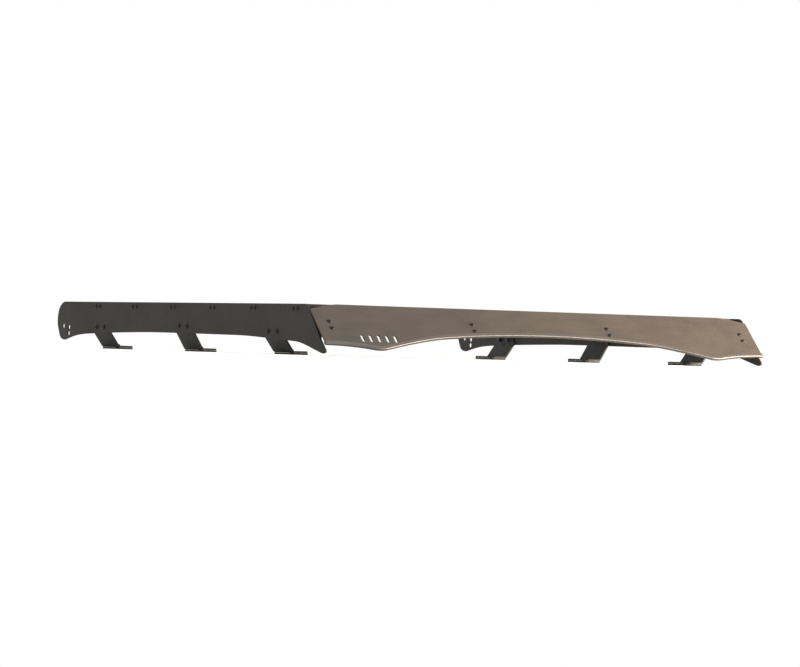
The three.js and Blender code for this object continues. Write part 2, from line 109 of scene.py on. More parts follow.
# ---- materials -------------------------------------------------------------------------------
class Shader:
    """A node material that is built up step by step, in the object's own coordinates."""

    def __init__(self, name, **sockets):
        self.material = bpy.data.materials.new(name)
        self.material.use_nodes = True
        self.tree = self.material.node_tree
        self.surface = self.tree.nodes["Principled BSDF"]
        for socket, value in sockets.items():
            self.surface.inputs[socket.replace("_", " ")].default_value = value
        self.place = self.node("ShaderNodeTexCoord").outputs["Object"]

    def node(self, kind, **settings):
        made = self.tree.nodes.new(kind)
        for setting, value in settings.items():
            setattr(made, setting, value)
        return made

    def link(self, source, socket):
        self.tree.links.new(source, socket)

    def noise(self, scale, detail=3.0, roughness=0.55, stretch=(1, 1, 1)):
        """Noise between 0 and 1, about 1 / scale metres from blob to blob."""
        mapping = self.node("ShaderNodeMapping")
        mapping.inputs["Scale"].default_value = stretch
        self.link(self.place, mapping.inputs["Vector"])
        noise = self.node("ShaderNodeTexNoise")
        self.link(mapping.outputs["Vector"], noise.inputs["Vector"])
        noise.inputs["Scale"].default_value = scale
        noise.inputs["Detail"].default_value = detail
        noise.inputs["Roughness"].default_value = roughness
        return noise.outputs["Fac"]

    def span(self, value, low, high, to_low=0.0, to_high=1.0):
        """Takes low..high of a value smoothly to to_low..to_high, and stops at both ends."""
        spread = self.node("ShaderNodeMapRange", interpolation_type="SMOOTHSTEP")
        for socket, number in zip(("From Min", "From Max", "To Min", "To Max"),
                                  (low, high, to_low, to_high)):
            spread.inputs[socket].default_value = number
        self.link(value, spread.inputs["Value"])
        return spread.outputs["Result"]

    def calc(self, operation, first, second):
        made = self.node("ShaderNodeMath", operation=operation)
        for socket, value in zip(made.inputs, (first, second)):
            if isinstance(value, (int, float)):
                socket.default_value = value
            else:
                self.link(value, socket)
        return made.outputs["Value"]

    def mix(self, amount, first, second):
        """Colour first where amount is 0 and colour second where it is 1."""
        made = self.node("ShaderNodeMix", data_type="RGBA")
        self.link(amount, made.inputs["Factor"])
        for socket, colour in ((made.inputs[6], first), (made.inputs[7], second)):
            if isinstance(colour, tuple):
                socket.default_value = (*colour, 1)
            else:
                self.link(colour, socket)
        return made.outputs[2]

    def bump(self, height, depth, strength=1.0):
        made = self.node("ShaderNodeBump")
        made.inputs["Distance"].default_value = depth
        made.inputs["Strength"].default_value = strength
        self.link(height, made.inputs["Height"])
        return made.outputs["Normal"]

    def edges(self):
        """1 on outer edges and 0 on flat faces."""
        point = self.node("ShaderNodeNewGeometry").outputs["Pointiness"]
        return self.span(point, 0.52, 0.62)

    def facing_up(self):
        normal = self.node("ShaderNodeSeparateXYZ")
        self.link(self.node("ShaderNodeNewGeometry").outputs["Normal"], normal.inputs["Vector"])
        return normal.outputs["Z"]

    def done(self, colour, roughness, normal):
        self.link(colour, self.surface.inputs["Base Color"])
        self.link(roughness, self.surface.inputs["Roughness"])
        self.link(normal, self.surface.inputs["Normal"])
        return self.material


def shade(colour, factor):
    return tuple(c * factor for c in colour)


def powder_coat(name, colour, dust_colour, dust, roughness=0.6, shine=0.31):
    """Fine-textured matt powder coat with a film of road dust and lightly rubbed edges."""
    s = Shader(name, IOR=1.5, Specular_IOR_Level=shine)
    pebble = s.noise(620, 2.0)
    grain = s.noise(1700, 3.0, 0.65)
    cloud = s.noise(5, 4.0, 0.6)
    streak = s.noise(9, 3.0, 0.6, stretch=(1, 1, 5))
    base = s.mix(s.span(cloud, 0.3, 0.7), shade(colour, 0.86), shade(colour, 1.14))
    base = s.mix(s.span(pebble, 0.35, 0.75, 0.0, 0.3), base, shade(colour, 1.5))
    film = s.calc("MULTIPLY", s.span(s.facing_up(), -0.4, 1.0, 0.25, 1.0),
                 s.span(streak, 0.3, 0.75, 0.3 * dust, dust))
    base = s.mix(film, base, dust_colour)
    worn = s.calc("MULTIPLY", s.edges(), s.span(s.noise(60, 3.0), 0.42, 0.68, 0.0, 0.5))
    base = s.mix(worn, base, (0.17, 0.165, 0.16))
    rough = s.calc("ADD", s.span(cloud, 0.25, 0.75, roughness - 0.06, roughness + 0.05),
                  s.span(grain, 0.3, 0.7, -0.03, 0.04))
    height = s.calc("ADD", s.calc("MULTIPLY", pebble, 0.7), s.calc("MULTIPLY", grain, 0.3))
    return s.done(base, rough, s.bump(height, 0.3 * MM, 0.8))


def anodised(name, colour):
    """Black anodised extrusion with faint die lines along its length."""
    s = Shader(name, Metallic=0.85, Specular_IOR_Level=0.3)
    lines = s.noise(420, 4.0, 0.6, stretch=(0.01, 1, 1))
    soft = s.noise(14, 3.0, 0.5)
    base = s.mix(s.span(lines, 0.3, 0.7), shade(colour, 0.8), shade(colour, 1.25))
    film = s.calc("MULTIPLY", s.span(s.facing_up(), 0.0, 1.0), s.span(soft, 0.4, 0.75, 0.02, 0.16))
    base = s.mix(film, base, (0.1, 0.09, 0.08))
    # Lighter on every outer edge: worn metal together with a painted edge highlight.
    base = s.mix(s.calc("MULTIPLY", s.edges(), 0.35), base, (0.3, 0.3, 0.3))
    rough = s.calc("ADD", s.span(lines, 0.3, 0.7, 0.34, 0.46), s.span(soft, 0.3, 0.7, -0.03, 0.06))
    return s.done(base, rough, s.bump(lines, 0.03 * MM, 0.5))


def black_oxide(name, colour):
    """Blackened steel of bolts and nuts, oily dark with a slight brown bloom."""
    s = Shader(name, Metallic=0.9)
    fine = s.noise(900, 3.0)
    bloom = s.noise(160, 4.0, 0.6)
    base = s.mix(s.span(bloom, 0.45, 0.75), colour, (0.05, 0.036, 0.026))
    base = s.mix(s.calc("MULTIPLY", s.edges(), 0.4), base, (0.2, 0.2, 0.21))
    rough = s.calc("ADD", s.span(bloom, 0.3, 0.7, 0.36, 0.5), s.span(fine, 0.3, 0.7, -0.04, 0.05))
    return s.done(base, rough, s.bump(fine, 0.02 * MM, 0.6))


def rubber(name, colour, dust_colour, roughness, shine, grain_size, grain_depth):
    """Black moulded or extruded rubber with a greyish bloom, lighter where it faces up: dust there,
    together with painted light that makes the upward faces look lit and leaves the downward faces dark as
    painted shade.
    """
    s = Shader(name, IOR=1.52, Specular_IOR_Level=shine)
    grain = s.noise(1 / grain_size, 3.0, 0.6)
    bloom = s.noise(18, 4.0, 0.6)
    base = s.mix(s.span(bloom, 0.35, 0.75), colour, shade(colour, 1.9))
    base = s.mix(s.span(grain, 0.5, 0.8, 0.0, 0.25), base, shade(colour, 2.5))
    # Painted light and dust: upward faces blend to dust_colour and are painted lighter as if lit, while
    # downward faces keep the dark base as painted shade.
    base = s.mix(s.span(s.facing_up(), 0.15, 0.7), base, dust_colour)
    rough = s.calc("ADD", s.span(bloom, 0.3, 0.7, roughness - 0.05, roughness + 0.06),
                  s.span(grain, 0.3, 0.7, -0.04, 0.05))
    return s.done(base, rough, s.bump(grain, grain_depth, 0.6))


MATERIALS = {
    "rail_coat": powder_coat(
        "rail_powder_coat", (0.0105, 0.0084, 0.0048), dust_colour=(0.1, 0.09, 0.075), dust=0.03),
    "fairing_coat": powder_coat(
        "fairing_powder_coat", (0.030, 0.026, 0.022), dust_colour=(0.16, 0.13, 0.105), dust=0.12,
        roughness=0.56, shine=0.34),
    # Painted shade: the brackets' and feet's base colour is darkened to stand in for the shade behind the
    # fairing.
    "bracket_coat": powder_coat(
        "bracket_powder_coat_with_painted_shade", (0.010, 0.0095, 0.009), dust_colour=(0.1, 0.09, 0.08), dust=0.04),
    # Painted shade: the crossbars' base colour is darkened beyond black anodising to stand in for the
    # fairing's shadow on the first crossbar.
    "crossbar_metal": anodised("crossbar_anodised_with_painted_shade", (0.009, 0.009, 0.0095)),
    "black_fasteners": black_oxide("fastener_black_oxide", (0.028, 0.028, 0.03)),
    # The trim's dust colour also paints light: it lifts the trim's upward lip to the lit fairing's
    # brightness, so the trim's downward face reads as painted shade.
    "edge_rubber": rubber(
        "edge_trim_rubber", (0.008, 0.0075, 0.007), dust_colour=(0.036, 0.031, 0.027),
        roughness=0.38, shine=0.75, grain_size=0.9 * MM, grain_depth=0.02 * MM),
    "pad_rubber": rubber(
        "foot_pad_rubber", (0.014, 0.014, 0.014), dust_colour=(0.03, 0.028, 0.025),
        roughness=0.62, shine=0.3, grain_size=0.6 * MM, grain_depth=0.08 * MM),
}


# ---- outlines, in the plane of a flat CAD face -----------------------------------------------
def local_space(node, normal, across):
    """The space of a node's outermost face: z is 0 on that face and points out of it."""
    out, side = Vector(normal), Vector(across)
    reach = max(v.co.dot(out) for v in nodes[node].data.vertices)
    axes = Matrix((side, out.cross(side), out)).transposed().to_4x4()
    return Matrix.Translation(out * reach) @ axes


def local_box(node, space):
    inverse = space.inverted()
    points = [inverse @ v.co for v in nodes[node].data.vertices]
    low = Vector([min(p[k] for p in points) for k in range(3)])
    high = Vector([max(p[k] for p in points) for k in range(3)])
    return low, high


def face_loops(node, space):
    """The closed outlines of the node's outermost flat face, as 2D points, the longest first."""
    shape = bmesh.new()
    shape.from_mesh(nodes[node].data)
    bmesh.ops.remove_doubles(shape, verts=shape.verts, dist=1e-6)
    shape.transform(space.inverted())
    shape.normal_update()
    on_face = {f for f in shape.faces
               if f.normal.z > 0.999 and abs(f.calc_center_median().z) < 2e-5}
    links = {}
    for edge in shape.edges:
        if sum(f in on_face for f in edge.link_faces) == 1:
            first, second = edge.verts
            links.setdefault(first, []).append(second)
            links.setdefault(second, []).append(first)
    loops = []
    while links:
        start = next(iter(links))
        loop, before, here = [start], start, links[start][0]
        while here is not start:
            loop.append(here)
            a, b = links[here]
            before, here = here, (b if a is before else a)
        for vertex in loop:
            del links[vertex]
        loops.append([vertex.co.xy.copy() for vertex in loop])
    shape.free()
    return sorted((wound(loop, 1) for loop in loops), key=area, reverse=True)


def area(loop):
    return sum(p.x * q.y - q.x * p.y for p, q in zip(loop, loop[1:] + loop[:1])) / 2


def wound(loop, sign):
    """The loop with its points anticlockwise for sign 1 and clockwise for sign -1."""
    return loop if area(loop) * sign > 0 else loop[::-1]


def middle(loop):
    return sum(loop, Vector((0, 0))) / len(loop)


def radius_of(loop):
    """The radius if the loop's corners lie on a circle, and 0 if they don't."""
    centre = middle(loop)
    reach = [(p - centre).length for p in loop]
    return sum(reach) / len(reach) if max(reach) < 1.03 * min(reach) else 0.0


def circle(centre, radius, steps=40):
    return [centre + radius * Vector((math.cos(t), math.sin(t)))
            for t in (2 * math.pi * i / steps for i in range(steps))]


def turn_at(before, after):
    return math.atan2(before.x * after.y - before.y * after.x, before.dot(after))


def refined(loop):
    """The loop with its round stretches drawn finely; its sharp corners stay sharp."""
    count = len(loop)
    edges = [loop[(i + 1) % count] - loop[i] for i in range(count)]

    def tangents(i):
        before, after = edges[i - 1], edges[i]
        if abs(turn_at(before, after)) > CORNER_ANGLE:
            return before.normalized(), after.normalized()
        if before.length > 3 * after.length:
            along = before.normalized()
        elif after.length > 3 * before.length:
            along = after.normalized()
        else:
            along = (before.normalized() * after.length + after.normalized() * before.length).normalized()
        return along, along

    fine = []
    for i in range(count):
        start, end, chord = loop[i], loop[(i + 1) % count], edges[i].length
        leave, arrive = tangents(i)[1] * chord, tangents((i + 1) % count)[0] * chord
        steps = max(1, math.ceil(abs(turn_at(leave, arrive)) / math.radians(5)))
        for k in range(steps):
            t = k / steps
            fine.append(start * (2 * t ** 3 - 3 * t ** 2 + 1) + leave * (t ** 3 - 2 * t ** 2 + t)
                        + end * (3 * t ** 2 - 2 * t ** 3) + arrive * (t ** 3 - t ** 2))
    low, high = [[limit(p[k] for p in loop) for k in (0, 1)] for limit in (min, max)]
    return [Vector([min(max(p[k], low[k]), high[k]) for k in (0, 1)]) for p in fine]


def eased(loop, radius):
    """The loop with an arc of that radius, or of radius[i], at each sharp corner."""
    rounded = []
    for i, corner in enumerate(loop):
        before, after = corner - loop[i - 1], loop[(i + 1) % len(loop)] - corner
        turn = turn_at(before, after)
        r = radius[i] if isinstance(radius, (list, tuple)) else radius
        if abs(turn) < CORNER_ANGLE or r <= 0:
            rounded.append(corner)
            continue
        reach = min(r * math.tan(abs(turn) / 2), 0.45 * before.length, 0.45 * after.length)
        r = reach / math.tan(abs(turn) / 2)
        start = corner - before.normalized() * reach
        square = Vector((-before.y, before.x)).normalized() * math.copysign(r, turn)
        centre = start + square
        steps = max(2, math.ceil(abs(turn) / math.radians(12)))
        for k in range(steps + 1):
            rounded.append(centre + Matrix.Rotation(turn * k / steps, 2) @ (start - centre))
    return rounded


def inset(loop, distance):
    """The loop moved to its left by a distance."""
    moved = []
    for i, point in enumerate(loop):
        before = (point - loop[i - 1]).normalized()
        after = (loop[(i + 1) % len(loop)] - point).normalized()
        left = Vector((-before.y - after.y, before.x + after.x)).normalized()
        moved.append(point + left * distance / max(0.4, left.dot(Vector((-after.y, after.x)))))
    return moved


# ---- bodies ----------------------------------------------------------------------------------
def plate(outline, holes, thickness, edge):
    """A flat plate from z = 0 down to -thickness, with its edges rounded by edge."""
    loops = [wound(outline, 1)] + [wound(hole, -1) for hole in holes]
    turns = [math.pi / 2 * k / 3 for k in range(4)]
    levels = [(edge * (1 - math.sin(t)), -edge * (1 - math.cos(t))) for t in turns]
    levels += [(edge * (1 - math.cos(t)), edge - thickness - edge * math.sin(t)) for t in turns]
    shape = bmesh.new()
    rims = []
    for loop in loops:
        rings = [[shape.verts.new((p.x, p.y, z)) for p in inset(loop, away)] for away, z in levels]
        for upper, lower in zip(rings, rings[1:]):
            for i in range(len(loop)):
                shape.faces.new((upper[i - 1], lower[i - 1], lower[i], upper[i]))
        rims.append((rings[0], rings[-1]))
    for end, order in ((0, 1), (1, -1)):
        verts = [vertex for rim in rims for vertex in rim[end]]
        first, borders = 0, []
        for rim in rims:
            borders.append(list(range(first, first + len(rim[end]))))
            first += len(rim[end])
        made = delaunay_2d_cdt([v.co.xy for v in verts], [], borders, 2, 1e-9)
        points, triangles, origin = made[0], made[2], made[3]
        assert len(points) == len(verts), "the plate's outlines cross"
        for triangle in triangles:
            shape.faces.new([verts[origin[k][0]] for k in triangle][::order])
    bmesh.ops.recalc_face_normals(shape, faces=shape.faces)
    return shape


def turned(rings, steps=TURN_STEPS):
    """A closed body of rings (height, radius) round +Z; a radius may be a function of the turn."""
    shape = bmesh.new()
    turns = [2 * math.pi * i / steps for i in range(steps)]
    drawn = []
    for height, radius in rings:
        reach = radius if callable(radius) else (lambda turn, r=radius: r)
        drawn.append([shape.verts.new((reach(t) * math.cos(t), reach(t) * math.sin(t), height))
                      for t in turns])
    for lower, upper in zip(drawn, drawn[1:]):
        for i in range(steps):
            shape.faces.new((lower[i - 1], lower[i], upper[i], upper[i - 1]))
    for ring, height in ((drawn[0], rings[0][0]), (drawn[-1], rings[-1][0])):
        centre = shape.verts.new((0, 0, height))
        for i in range(steps):
            shape.faces.new((ring[i], ring[i - 1], centre))
    bmesh.ops.recalc_face_normals(shape, faces=shape.faces)
    return shape


def hexagon(half_across, most=1.0):
    """The radius of a hexagon at a turn, cut off at most."""
    return lambda turn: min(most, half_across / math.cos(turn % (math.pi / 3) - math.pi / 6))


def thread(shank, pitch, height):
    """The radius of a screw thread at a height."""
    def radius(turn):
        phase = (height / pitch - turn / (2 * math.pi)) % 1
        return shank - 0.6 * pitch * abs(2 * phase - 1)
    return radius


def button_bolt(size, length, turns):
    """A button-head bolt, head up, with its seat at z = 0 and that many turns of thread at its tip."""
    shank, head, rise, key, pitch = (size[k] for k in ("shank", "head", "rise", "key", "pitch"))
    tip, threaded = -length, turns * pitch
    count = round(turns * THREAD_ROWS)
    rings = [(tip, 0.8 * shank)]
    for k in range(1, count + 1):
        height = tip + k * threaded / count
        rings.append((height, thread(shank * min(1, 0.86 + 0.04 * k), pitch, height)))
    rings += [(tip + threaded + 0.2 * MM, shank), (0, shank), (0, 0.94 * head), (0.12 * rise, head)]
    rings.append((0.28 * rise, head))
    for k in range(1, 8):
        turn = math.pi / 2 * k / 8
        rings.append((rise * (0.28 + 0.72 * math.sin(turn)),
                      1.3 * key + (head - 1.3 * key) * math.cos(turn)))
    rings += [(rise, 1.3 * key), (rise - 0.25 * MM, hexagon(key)), (0.42 * rise, hexagon(key)),
              (0.34 * rise, 0.6 * key)]
    return turned(rings)


def chamfered(half_across, distance):
    """A hexagon nut's outline at a distance from a chamfered end."""
    return hexagon(half_across, min(HEX_CORNER * half_across, 0.97 * half_across + 1.9 * distance))


def lock_nut(half_across, tall, bore, collar):
    """A hexagon nut with chamfered corners, from z = 0 down; collar is how tall its round top is."""
    hex_tall = tall - collar
    rings = [(0.4 * MM, bore * 0.86), (0, bore)]
    for k in range(15):
        height = hex_tall * k / 14
        rings.append((height, chamfered(half_across, min(height, hex_tall - height))))
    for k in range(6):
        turn = math.pi / 2 * k / 5
        rings.append((hex_tall + collar * math.sin(turn), half_across * (0.7 + 0.2 * math.cos(turn))))
    rings += [(tall, bore * 1.02), (tall - 0.5 * MM, bore * 0.86)]
    return turned([(height - tall, radius) for height, radius in rings], NUT_STEPS)


def flange_nut(half_across, tall, bore, flange):
    """A hexagon nut on a round flange, from z = 0 up."""
    flange_tall = 2.2 * MM
    rings = [(0.4 * MM, bore * 0.86), (0, bore), (0, flange * 0.97), (0.3 * MM, flange),
             (0.9 * MM, flange), (flange_tall, HEX_CORNER * half_across * 1.02)]
    for k in range(13):
        height = flange_tall + (tall - flange_tall) * k / 12
        rings.append((height, chamfered(half_across, tall - height)))
    rings += [(tall, bore), (tall - 0.5 * MM, bore * 0.86)]
    return turned(rings, NUT_STEPS)


def bent(shape, path, radius):
    """Bends a flat plate that runs along +Y from y = 0, with its middle at z = 0, along a path of
    2D points; afterwards y and z are the path's two axes."""
    line = [Vector(p) for p in path]
    ways = [(b - a).normalized() for a, b in zip(line, line[1:])]
    turns = [0.0] + [turn_at(a, b) for a, b in zip(ways, ways[1:])] + [0.0]
    cuts = [radius * math.tan(abs(turn) / 2) for turn in turns]
    stretches, length = [], 0.0
    for i, way in enumerate(ways):
        run = (line[i + 1] - line[i]).length - cuts[i] - cuts[i + 1]
        stretches.append((length, run, line[i] + way * cuts[i], way, 0.0))
        length += run
        turn = turns[i + 1]
        if turn:
            stretches.append((length, radius * abs(turn), line[i + 1] - way * cuts[i + 1], way, turn))
            length += radius * abs(turn)
    for start, run, _, _, turn in stretches:
        if not turn:
            continue
        for k in range(BEND_STEPS + 1):
            bmesh.ops.bisect_plane(
                shape, geom=shape.verts[:] + shape.edges[:] + shape.faces[:], dist=1e-7,
                plane_co=(0, start + run * k / BEND_STEPS, 0), plane_no=(0, 1, 0))
    for vertex in shape.verts:
        along, depth = vertex.co.y, vertex.co.z
        start, run, point, way, turn = next(
            (s for s in stretches if along <= s[0] + s[1] + 1e-9), stretches[-1])
        if turn:
            angle = turn * (along - start) / run
            side = Vector((-way.y, way.x)) * math.copysign(radius, turn)
            spot = point + side + Matrix.Rotation(angle, 2) @ -side
            facing = Matrix.Rotation(angle, 2) @ way
        else:
            spot, facing = point + way * (along - start), way
        spot = spot + Vector((-facing.y, facing.x)) * depth
        vertex.co = (vertex.co.x, spot.x, spot.y)
    shape.normal_update()
    return shape


def path_length(path, radius):
    """The flat length of a plate that is bent along the path."""
    line = [Vector(p) for p in path]
    total = sum((b - a).length for a, b in zip(line, line[1:]))
    for a, b, c in zip(line, line[1:], line[2:]):
        turn = abs(turn_at(b - a, c - b))
        total += radius * turn - 2 * radius * math.tan(turn / 2)
    return total


def piece(name, shape, space, slot, *stands_for):
    """Puts a finished shape in its place as a named piece that rides on the rack."""
    if space is not None:
        shape.transform(space)
        if space.determinant() < 0:
            bmesh.ops.reverse_faces(shape, faces=shape.faces)
    mesh = bpy.data.meshes.new(name)
    shape.to_mesh(mesh)
    shape.free()
    for polygon in mesh.polygons:
        polygon.use_smooth = True
    mesh.set_sharp_from_angle(angle=math.radians(38))
    mesh.materials.append(MATERIALS[slot])
    obj = bpy.data.objects.new(name, mesh)
    bpy.context.scene.collection.objects.link(obj)
    obj.modifiers.new("flat faces stay flat", "WEIGHTED_NORMAL").keep_sharp = True
    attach(obj, "root")
    if stands_for:
        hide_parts(*stands_for)
    return obj


def pointing(direction, spot):
    """A space at spot whose +Z points along direction."""
    out = Vector(direction).normalized()
    helper = Vector((0, 0, 1)) if abs(out.z) < 0.9 else Vector((0, 1, 0))
    side = helper.cross(out).normalized()
    axes = Matrix((side, out.cross(side), out)).transposed().to_4x4()
    return Matrix.Translation(spot) @ axes


# ---- side rails, with the bolts that go through their holes ----------------------------------
def build_rail(side, sign):
    node = f"side_rail_{side}"
    space = local_space(node, (sign, 0, 0), (0, 1, 0))
    thickness = -local_box(node, space)[0].z
    outline, *holes = face_loops(node, space)
    round_holes = [(middle(hole), radius_of(hole)) for hole in holes]
    shape = plate(refined(outline), [circle(c, r) for c, r in round_holes], thickness, RAIL_EDGE)
    piece(f"{side}_side_rail", shape, space, "rail_coat", node)

    def spots(radius):
        found = [space @ c.to_3d() for c, r in round_holes if abs(r - radius) < 0.2 * MM]
        return sorted(found, key=lambda p: p.y)
    for i, spot in enumerate(spots(HOLE_M6)):
        place = f"{i // 2 + 1}_{side}_{('front', 'rear')[i % 2]}"
        piece(f"crossbar_bolt_{place}", button_bolt(M6, RAIL_BOLT, turns=2),
              pointing((sign, 0, 0), spot), "black_fasteners")
    for i, spot in enumerate(spots(HOLE_M8)):
        foot, letter = FEET[i // 2], "ab"[i % 2]
        piece(f"{foot}_{side}_foot_bolt_{letter}", button_bolt(M8, RAIL_BOLT, turns=2.4),
              pointing((sign, 0, 0), spot), "black_fasteners", f"foot_bolt_{foot}_{side}_{letter}")
        inside = spot - Vector((sign * (thickness + FOOT_PLATE + SEAT_GAP), 0, 0))
        piece(f"{foot}_{side}_foot_nut_{letter}", flange_nut(**FLANGE_NUT),
              pointing((-sign, 0, 0), inside), "black_fasteners")


# ---- crossbars -------------------------------------------------------------------------------
def build_crossbar(number):
    node = f"crossbar_{number}"
    space = local_space(node, (1, 0, 0), (0, 1, 0))
    length = -local_box(node, space)[0].z
    outline, *hollows = face_loops(node, space)
    # The corners of a rectangular chamber lie on a circle too, so a screw core needs more of them.
    fine = [circle(middle(h), radius_of(h)) if radius_of(h) and len(h) > 6 else eased(h, BAR_EDGE)
            for h in hollows]
    shape = plate(eased(refined(outline), BAR_EDGE), fine, length, BAR_END_EDGE)
    piece(f"crossbar_profile_{number}", shape, space, "crossbar_metal", node)


# ---- fairing, edge trim and their bolts ------------------------------------------------------
def build_fairing():
    node = "front_fairing"
    space = local_space(node, FAIRING_OUT, ACROSS)
    thickness = -local_box(node, space)[0].z
    outline, *holes = face_loops(node, space)
    outline = eased(refined(outline), FAIRING_CORNER)
    fine = [circle(middle(h), radius_of(h)) if radius_of(h) else refined(h) for h in holes]
    piece("fairing_panel", plate(outline, fine, thickness, SHEET_EDGE), space, "fairing_coat", node)
    bolt_holes = [middle(hole) for hole in holes if radius_of(hole)]
    for spot in bolt_holes:
        side = "left" if spot.x > 0 else "right"
        mates = [p for p in bolt_holes if abs(p.x - spot.x) < 1 * MM]
        place = "outer" if abs(spot.x) > cad_high.x / 2 else "inner"
        level = "upper" if spot.y == max(p.y for p in mates) else "lower"
        label = f"{place}_{side}_{level}"
        seat = space @ spot.to_3d()
        piece(f"fairing_button_bolt_{label}", button_bolt(M6, FAIRING_BOLT, turns=2.6),
              pointing(FAIRING_OUT, seat), "black_fasteners", f"fairing_bolt_{label}")
        behind = thickness + SEAT_GAP + BRACKET_PLATE + LOCK_NUT["tall"]
        piece(f"fairing_lock_nut_{label}", lock_nut(**LOCK_NUT),
              pointing(-FAIRING_OUT, seat - FAIRING_OUT * behind), "black_fasteners",
              f"fairing_nut_{label}")
    return space, thickness


def build_trim(space, plate_thick):
    """A rubber channel pushed onto the fairing's lower edge: its section swept along that edge."""
    node = "fairing_edge_trim"
    outline = refined(face_loops("front_fairing", space)[0])
    rim = sorted((p for p in outline if p.y < trim_limit(outline)), key=lambda p: p.x)
    wall = local_box(node, space)[1].z
    front, back = TRIM_CLEAR, -plate_thick - TRIM_CLEAR
    section = [Vector(p) for p in (
        (-TRIM_OVER, front), (TRIM_CLEAR, front), (TRIM_CLEAR, back), (-TRIM_OVER, back),
        (-TRIM_OVER, -plate_thick - wall), (TRIM_OUT, -plate_thick - wall), (TRIM_OUT, wall),
        (-TRIM_OVER, wall))]
    section = eased(section, TRIM_ROUNDS)
    shape = bmesh.new()
    rings = []
    for i, point in enumerate(rim):
        way = rim[min(i + 1, len(rim) - 1)] - rim[max(i - 1, 0)]
        down = Vector((way.y, -way.x)).normalized()
        if i in (0, len(rim) - 1):
            down = Vector((0, -1))
        rings.append([shape.verts.new((point + down * q.x).to_3d() + Vector((0, 0, q.y)))
                      for q in section])
    count = len(section)
    for near, far in zip(rings, rings[1:]):
        for k in range(count):
            shape.faces.new((near[k - 1], near[k], far[k], far[k - 1]))
    ends = [shape.faces.new(rings[0]), shape.faces.new(rings[-1])]
    bmesh.ops.triangulate(shape, faces=ends)
    bmesh.ops.recalc_face_normals(shape, faces=shape.faces)
    piece("lower_edge_trim", shape, space, "edge_rubber", node)


def trim_limit(outline):
    """Just above the middle of the fairing's lower edge, which is that edge's highest point."""
    halfway = (max(p.y for p in outline) + min(p.y for p in outline)) / 2
    return min((p for p in outline if p.y < halfway), key=lambda p: abs(p.x)).y + 1 * MM


# ---- brackets and feet: flat plates, rounded and drilled, then bent --------------------------
def bent_plate(half_width, path, thickness, holes, corners=4 * MM, outline=None):
    """Each hole is (across, along, radius) on the flat plate, or an outline there."""
    length = path_length(path, BEND_RADIUS)
    if outline is None:
        outline = [(-half_width, 0), (half_width, 0), (half_width, length), (-half_width, length)]
    flat = eased([Vector(p) for p in outline], corners)
    drilled = [hole if isinstance(hole, list) else circle(Vector(hole[:2]), hole[2]) for hole in holes]
    shape = plate(flat, drilled, thickness, SHEET_EDGE)
    bmesh.ops.translate(shape, verts=shape.verts, vec=(0, 0, thickness / 2))
    return bent(shape, path, BEND_RADIUS)


def build_corner_bracket(side, sign, space):
    """An angle behind each end of the fairing, with two clinched studs through its other leg."""
    node = f"fairing_corner_bracket_{side}"
    low, high = local_box(node, space)
    half = BRACKET_PLATE / 2
    free, rail = (low.x, high.x) if sign > 0 else (high.x, low.x)
    path = [(free * sign, high.z - half), (rail * sign - half, high.z - half),
            (rail * sign - half, low.z)]
    wide = (high.y - low.y) / 2
    level = (high.y + low.y) / 2
    flat_long = path_length(path, BEND_RADIUS)
    bolts = [local_spot(f"fairing_nut_outer_{side}_{name}", space) for name in ("upper", "lower")]
    holes = [(spot.y - level, abs(spot.x - free), HOLE_M6) for spot in bolts]
    studs = (-STUD_HALF_PITCH, STUD_HALF_PITCH)
    holes += [(step, flat_long - STUD_INSET, HOLE_M6) for step in studs]
    shape = bent_plate(wide, path, BRACKET_PLATE, holes)
    # The bent plate's axes are (up the slope, across, out of the slope).
    turn = Matrix(((0, sign, 0, 0), (1, 0, 0, level), (0, 0, 1, 0), (0, 0, 0, 1)))
    piece(f"{side}_corner_bracket", shape, space @ turn, "bracket_coat", node)
    for step, name in zip(studs, ("lower", "upper")):
        face = rail - sign * BRACKET_PLATE
        spot = space @ Vector((face, level + step, low.z + STUD_INSET))
        inward = Vector((-sign, 0, 0))
        piece(f"{side}_corner_stud_nut_{name}", lock_nut(**LOCK_NUT),
              pointing(inward, spot + inward * LOCK_NUT["tall"]), "black_fasteners")
        piece(f"{side}_corner_stud_{name}", stud_end(), pointing(inward, spot), "black_fasteners")


def stud_end():
    """The end of an M6 stud that stands out of a plate: plain inside its nut, threaded past it."""
    shank, pitch, tall = M6["shank"], M6["pitch"], LOCK_NUT["tall"]
    heights = [pitch * k / THREAD_ROWS for k in range(2 * THREAD_ROWS)]
    threaded = [(tall + height, thread(shank, pitch, height)) for height in heights]
    return turned([(0, shank - 0.5 * MM), (1 * MM, shank), (tall, shank)] + threaded
                  + [(tall + 2.2 * pitch, shank - 0.7 * MM)])


def local_spot(node, space):
    """The middle of a node's box, in a space."""
    low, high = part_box(node)
    return space.inverted() @ ((low + high) / 2)


